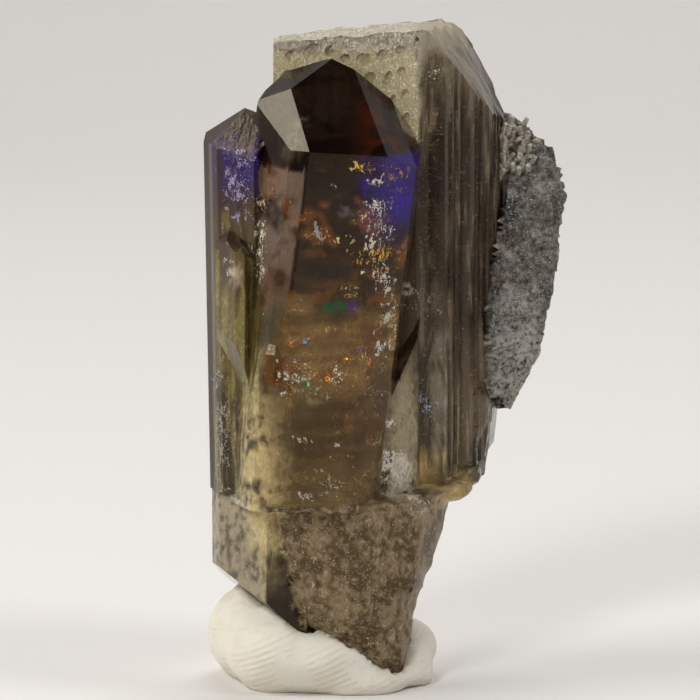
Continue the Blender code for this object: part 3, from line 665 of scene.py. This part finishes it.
def trapped_skin():
    """Brown, frosted and rippled from side to side."""
    material, tree, shader = new_material("trapped_skin", roughness=0.5, ior=1.3, transmission=0.85)
    place = place_in_mm(tree)
    z = add_node(tree, "SeparateXYZ", {"Vector": place}).outputs[2]
    ripple = cloud(tree, place_in_mm(tree, (0.4, 0.6, 1.4)), 0.5, 6.0, 0.62, 1.0)
    level = reckon(tree, 'ADD', z, rise(tree, ripple, 0.25, 0.75, -4.0, 4.0))
    colour = colours_along(tree, level, (
        (16, (0.75, 0.55, 0.25)), (24, (0.6, 0.38, 0.15)), (32, (0.45, 0.24, 0.09)),
        (38, (0.25, 0.11, 0.05)), (44, (0.2, 0.08, 0.06)),
    ))
    tree.links.new(colour, shader.inputs["Base Color"])
    return material


bpy.ops.object.select_all(action='DESELECT')
bpy.ops.mesh.primitive_grid_add(x_subdivisions=40, y_subdivisions=90, size=1.0)
contact = bpy.context.active_object
contact.name = "trapped_skin"
for vert in contact.data.vertices:
    across = vert.co.x * CONTACT_WIDTH + 1.9
    up = vert.co.y * CONTACT_HEIGHT + 31.0
    sway = noise.noise(Vector((across * 0.3, up * 0.5, 1.0)))
    vert.co = (across * MM, (1.1 - CONTACT_SLOPE * across + 0.4 * sway) * MM, up * MM)
wall = contact.modifiers.new("thickness", 'SOLIDIFY')
wall.thickness = CONTACT_THICKNESS * MM
wall.offset = 0.0
apply_all(contact)
contact.data.materials.append(trapped_skin())
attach(contact, "root")

# Rock patch.
# A scale of the graphite-bearing rock that the crystals grew from, still grown onto the back
# crystal's side. It broke rough and grainy, and small flakes of graphite glint in it.
TOUCH_GAP = 0.02

# White, green and paler places: middle, half widths, the grains' limits and the colour
ROCK_PATCHES = (
    ((15.9, 2.5, 45.4), (1.5, 5.0, 2.4), 0.42, 0.5, (0.72, 0.66, 0.55)),
    ((18.4, 2.5, 45.9), (1.6, 5.0, 1.0), 0.4, 0.55, (0.42, 0.4, 0.2)),
    ((16.8, 2.5, 26.0), (4.5, 7.0, 8.0), 0.4, 0.55, (0.6, 0.56, 0.5)),
)


def ball(tree, place, centre, radii):
    """1 inside a rounded patch around a point, falling to 0 at its edge."""
    offset = add_node(tree, "VectorMath", {0: place, 1: centre}, operation='SUBTRACT').outputs[0]
    scaled = add_node(tree, "VectorMath", {0: offset, 1: radii}, operation='DIVIDE').outputs[0]
    far = add_node(tree, "VectorMath", {0: scaled}, operation='LENGTH').outputs["Value"]
    return rise(tree, far, 1.0, 0.35)


def graphite_rock():
    """Dark grey grains with paler ones and glints between, brownish here and there."""
    material, tree, shader = new_material("graphite_rock", roughness=0.55)
    place = place_in_mm(tree)
    coarse = cloud(tree, place, 0.7, 2.0, 0.5, 0.5)
    grains = cloud(tree, place, 2.4, 5.0, 0.75)
    both = reckon(tree, 'ADD', reckon(tree, 'MULTIPLY', coarse, 0.4), reckon(tree, 'MULTIPLY', grains, 0.6))
    body = colours_along(tree, both, (
        (0.32, (0.012, 0.012, 0.012)), (0.43, (0.11, 0.1, 0.085)),
        (0.53, (0.3, 0.27, 0.22)), (0.64, (0.62, 0.57, 0.5)),
    ))
    glint = rise(tree, cloud(tree, place, 6.5, 2.0, 0.5), 0.62, 0.66)
    body = tint(tree, glint, body, (0.75, 0.74, 0.7))
    for centre, radii, bare, full, colour in ROCK_PATCHES:
        spread = reckon(tree, 'MULTIPLY', ball(tree, place, centre, radii), rise(tree, grains, bare, full))
        body = tint(tree, spread, body, colour)
    tree.links.new(body, shader.inputs["Base Color"])
    tree.links.new(rise(tree, glint, 0.0, 1.0, 0.65, 0.25), shader.inputs["Roughness"])
    bump = add_node(tree, "Bump", {"Height": both, "Strength": 1.0, "Distance": 0.0009})
    tree.links.new(bump.outputs[0], shader.inputs["Normal"])
    return material


def rock_length(middles):
    """The same fineness all over."""
    return numpy.full(len(middles), 0.45)


def rock_wear(spot):
    """Lumps and pits between the grains."""
    lumps = grain(spot, 0.55, 3, shift=5.0)
    pits = abs(grain(spot, 1.3, 3, shift=15.0))
    return 0.75 * max(0.0, 0.45 + 0.6 * lumps - 0.8 * pits)


rock = copy_of_node("graphite_matrix", "rock_patch")
refine(rock, rock_length)
roughen(rock, rock_wear)

# The rock closes onto the crystal it is grown to
for vert in rock.data.vertices:
    touch, normal, _, far = crystal_wall.find_nearest(vert.co)
    if far < 0.6 * MM:
        vert.co = touch + normal * TOUCH_GAP * MM
rock.data.materials.append(graphite_rock())
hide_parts("graphite_matrix")
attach(rock, "root")

# Pale shards.
# Splinters of pale tanzanite stand in the corner between the rock and the crystal, where the group
# broke from its wall. Each is a stub of a prism with flat sides, frosted by the break.
SHARDS = 34


def pale_shard():
    """Milky, a little clear, with a dusty grain."""
    material, tree, shader = new_material("pale_shard", roughness=0.3, ior=TANZANITE_IOR, transmission=0.3)
    place = place_in_mm(tree)
    dust = cloud(tree, place, 2.5, 4.0, 0.7)
    body = colours_along(tree, dust, (
        (0.35, (0.3, 0.25, 0.17)), (0.5, (0.6, 0.54, 0.42)), (0.62, (0.85, 0.8, 0.7)),
    ))
    tree.links.new(body, shader.inputs["Base Color"])
    bump = add_node(tree, "Bump", {"Height": dust, "Strength": 0.6, "Distance": 0.0003})
    tree.links.new(bump.outputs[0], shader.inputs["Normal"])
    return material


wall = tree_of(skin, rock)
stubs = []
for number in range(SHARDS):
    across = 15.3 + 3.0 * ((number * 0.618) % 1.0) ** 1.3
    up = 42.8 + 4.2 * number / (SHARDS - 1.0)
    touch, normal, _, _ = wall.ray_cast(Vector((across, -20.0, up)) * MM, Vector((0.0, 1.0, 0.0)))
    if touch is None:
        continue
    width = (0.3 + 0.25 * abs(noise.noise(Vector((number * 2.3, 1.0, 7.5))))) * MM
    bpy.ops.object.select_all(action='DESELECT')
    bpy.ops.mesh.primitive_cone_add(vertices=5, radius1=width, radius2=0.55 * width, depth=3.6 * width)
    stub = bpy.context.active_object
    lean = Vector([noise.noise(Vector((number * 1.9, 5.4, 2.6 + apart))) for apart in (0.0, 9.3, 17.7)])
    turned = (Vector((0.2, -0.5, 0.7)) + 1.1 * lean).to_track_quat('Z', 'Y').to_matrix().to_4x4()
    stub.data.transform(Matrix.Translation(touch) @ turned)
    stubs.append(stub)
for stub in stubs:
    stub.select_set(True)
bpy.context.view_layer.objects.active = stubs[0]
bpy.ops.object.join()
shards = bpy.context.active_object
shards.name = "pale_shards"
shards.data.materials.clear()
shards.data.materials.append(pale_shard())
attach(shards, "root")

# Putty.
# A lump of white adhesive putty, rolled between the fingers and pressed flat under the root, so it
# hugs the crystal. It is soft and matte, with finger ridges half a millimetre apart.


def white_putty():
    """Cream-white and matte, with faint finger ridges, dimples and a little dirt."""
    material, tree, shader = new_material("white_putty", roughness=0.62)
    place = place_in_mm(tree)
    soft = cloud(tree, place, 0.45, 3.0, 0.5)
    fine = cloud(tree, place, 3.0, 3.0, 0.6)
    body = tint(tree, rise(tree, soft, 0.35, 0.7), (0.86, 0.815, 0.7), (0.82, 0.765, 0.64))
    dirt = rise(tree, fine, 0.68, 0.74)
    tree.links.new(tint(tree, dirt, body, (0.5, 0.42, 0.32)), shader.inputs["Base Color"])
    ridges = add_node(tree, "TexWave", {
        "Vector": place_in_mm(tree, (0.75, 0.4, 1.0), (0.0, 0.5, 0.0)), "Scale": 0.66,
        "Distortion": 5.0, "Detail": 1.0, "Detail Scale": 0.25,
    }, bands_direction='Z').outputs["Fac"]
    pressed = reckon(tree, 'MULTIPLY', ridges, rise(tree, soft, 0.42, 0.56, 0.0, 0.3))
    height = reckon(tree, 'ADD', pressed, reckon(tree, 'MULTIPLY', fine, 0.35))
    bump = add_node(tree, "Bump", {"Height": height, "Strength": 0.5, "Distance": 0.0003})
    tree.links.new(bump.outputs[0], shader.inputs["Normal"])
    return material


def putty_length(middles):
    """The same fineness all over."""
    return numpy.full(len(middles), 0.6)


putty = copy_of_node("putty_base", "putty_lump")
refine(putty, putty_length)
bpy.ops.object.mode_set(mode='EDIT')
bpy.ops.mesh.select_mode(type='VERT')
bpy.ops.mesh.select_all(action='DESELECT')
bpy.ops.object.mode_set(mode='OBJECT')
for vert in putty.data.vertices:
    vert.select = vert.co.z > 0.25 * MM
bpy.ops.object.mode_set(mode='EDIT')
bpy.ops.mesh.vertices_smooth(factor=0.5, repeat=8)
bpy.ops.object.mode_set(mode='OBJECT')

# The pocket's wall closes onto the crystal
for vert in putty.data.vertices:
    touch, normal, _, far = crystal_wall.find_nearest(vert.co)
    if far < 0.5 * MM:
        vert.co = touch + normal * TOUCH_GAP * MM
bpy.ops.object.shade_smooth()
putty.data.materials.append(white_putty())
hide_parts("putty_base")
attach(putty, "root")

# Studio.
# The camera stands 0.36 m in front and looks down on the crystal by 8 degrees. A sweep of warm
# white paper runs up behind it, and four soft lights and a pale surround light it.
AIM = Vector((0.00238, 0.0, 0.02847))
DISTANCE = 0.36
LIFT = math.radians(8.0)
PICTURE_WIDTH = 0.0595
SWEEP_EDGE = 0.7

camera_data = bpy.data.cameras.new("camera")
camera = bpy.data.objects.new("camera", camera_data)
bpy.context.scene.collection.objects.link(camera)
camera.location = AIM + Vector((0.0, -math.cos(LIFT), math.sin(LIFT))) * DISTANCE
camera.rotation_euler = (math.radians(90.0) - LIFT, 0.0, 0.0)
camera_data.sensor_width = 36.0
camera_data.lens = camera_data.sensor_width * DISTANCE / PICTURE_WIDTH
camera_data.clip_start = 0.01
bpy.context.scene.camera = camera

bpy.ops.object.select_all(action='DESELECT')
bpy.ops.mesh.primitive_plane_add(size=1.6)
floor = bpy.context.object
floor.name = "floor"
bpy.ops.object.mode_set(mode='EDIT')
bpy.ops.mesh.select_mode(type='EDGE')
bpy.ops.mesh.select_all(action='DESELECT')
bpy.ops.object.mode_set(mode='OBJECT')
for edge in floor.data.edges:
    ends = [floor.data.vertices[number].co for number in edge.vertices]
    edge.select = min(end.y for end in ends) > SWEEP_EDGE
bpy.ops.object.mode_set(mode='EDIT')
bpy.ops.mesh.extrude_region_move(TRANSFORM_OT_translate={"value": (0, 0, 1.2)})
bpy.ops.mesh.select_all(action='DESELECT')
bpy.ops.object.mode_set(mode='OBJECT')
for edge in floor.data.edges:
    ends = [floor.data.vertices[number].co for number in edge.vertices]
    edge.select = min(end.y for end in ends) > SWEEP_EDGE and max(end.z for end in ends) < 0.1
bpy.ops.object.mode_set(mode='EDIT')
bpy.ops.mesh.bevel(offset=0.35, segments=16)
bpy.ops.object.mode_set(mode='OBJECT')
bpy.ops.object.shade_smooth()
material, tree, shader = new_material("paper", 0.8)
shader.inputs["Base Color"].default_value = (0.77, 0.745, 0.72, 1)
shader.inputs["Specular IOR Level"].default_value = 0.1
floor.data.materials.append(material)

world = bpy.data.worlds.new("studio")
bpy.context.scene.world = world
world.use_nodes = True
tree = world.node_tree
background = tree.nodes["Background"]
direction = add_node(tree, "TexCoord", {}).outputs["Generated"]
sides = add_node(tree, "SeparateXYZ", {"Vector": direction})
overhead = rise(tree, sides.outputs[2], 0.45, 0.9, 1.0, 0.08)
right = rise(tree, sides.outputs[0], 0.2, 0.8, 1.0, 0.4)
ahead = rise(tree, sides.outputs[1], -0.6, 0.1, 0.07, 1.0)
left = rise(tree, sides.outputs[0], -0.8, -0.3, 0.4, 1.0)
sideways = reckon(tree, 'MULTIPLY', right, left)
strength = reckon(tree, 'MULTIPLY', reckon(tree, 'MULTIPLY', overhead, sideways), ahead)
tree.links.new(strength, background.inputs["Strength"])
background.inputs["Color"].default_value = (0.85, 0.845, 0.83, 1.0)


def softbox(name, place, size, power, colour=(1.0, 1.0, 1.0)):
    """A rectangular studio light that looks at the crystal."""
    light = bpy.data.lights.new(name, 'AREA')
    light.shape = 'RECTANGLE'
    light.size, light.size_y = size
    light.energy = power
    light.color = colour
    lamp = bpy.data.objects.new(name, light)
    bpy.context.scene.collection.objects.link(lamp)
    lamp.location = place
    lamp.rotation_euler = (Vector((0.0, 0.0, 0.03)) - Vector(place)).to_track_quat('-Z', 'Y').to_euler()


softbox("key", (-0.46, -0.09, 0.40), (0.28, 0.28), 1.6, (1.0, 0.98, 0.94))
softbox("front", (-0.25, -0.5, 0.42), (0.16, 0.16), 1.6)
softbox("side", (0.34, -0.12, 0.42), (0.14, 0.14), 0.7)
softbox("back", (0.12, 0.45, 0.8), (0.6, 0.5), 4.1)
bpy.context.scene.view_settings.view_transform = 'Standard'
